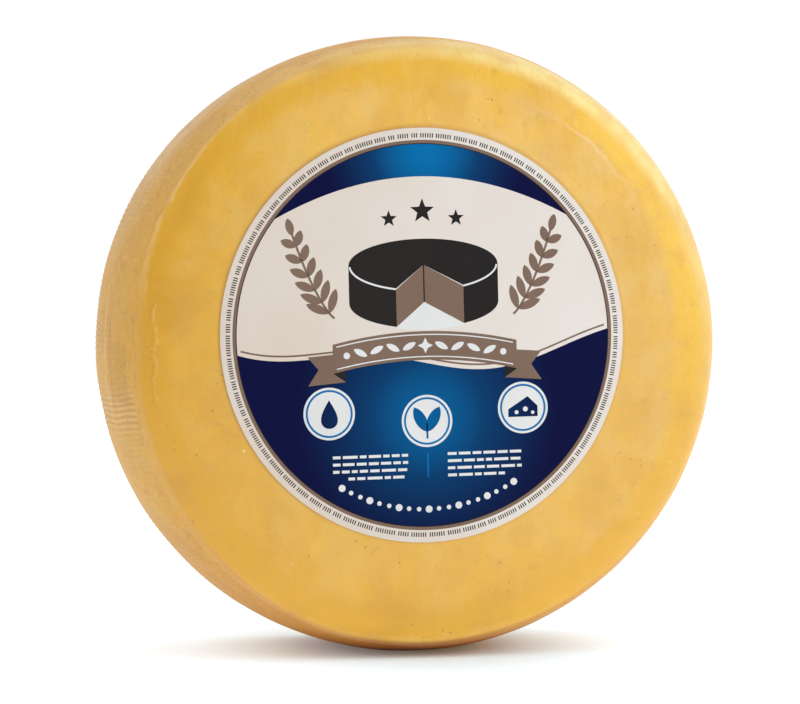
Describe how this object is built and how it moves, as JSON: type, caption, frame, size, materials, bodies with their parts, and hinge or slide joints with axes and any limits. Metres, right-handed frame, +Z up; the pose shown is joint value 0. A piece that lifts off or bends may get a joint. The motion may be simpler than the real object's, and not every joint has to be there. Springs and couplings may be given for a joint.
{
  "type": "whole wheel of hard cheese",
  "caption": "Whole wheel of hard aged cheese standing on its edge, with a bulged side, softly domed faces and a round paper label on the front face",
  "frame": {"origin": "On the floor under the middle of the wheel, in the small flat spot that it stands on", "axes": "+Z up; the wheel's axis lies along Y and the labelled front face looks along -Y; +X to the right seen from the front"},
  "size_m": [0.2497, 0.0958, 0.2474],
  "materials": {
    "cheese": "smooth, slightly waxy golden cheese, with a paler tan ribbed side",
    "label_paper": "smooth off-white printed paper",
    "print_navy": "dark blue print with a lighter glow, slightly glossy",
    "print_taupe": "taupe brown print",
    "print_black": "near-black print",
    "print_white": "white print on the dark fields",
    "print_azure": "light blue print"
  },
  "bodies": {
    "root": {"cheese_wheel": "cheese", "label": "label_paper"}
  },
  "joints": []
}
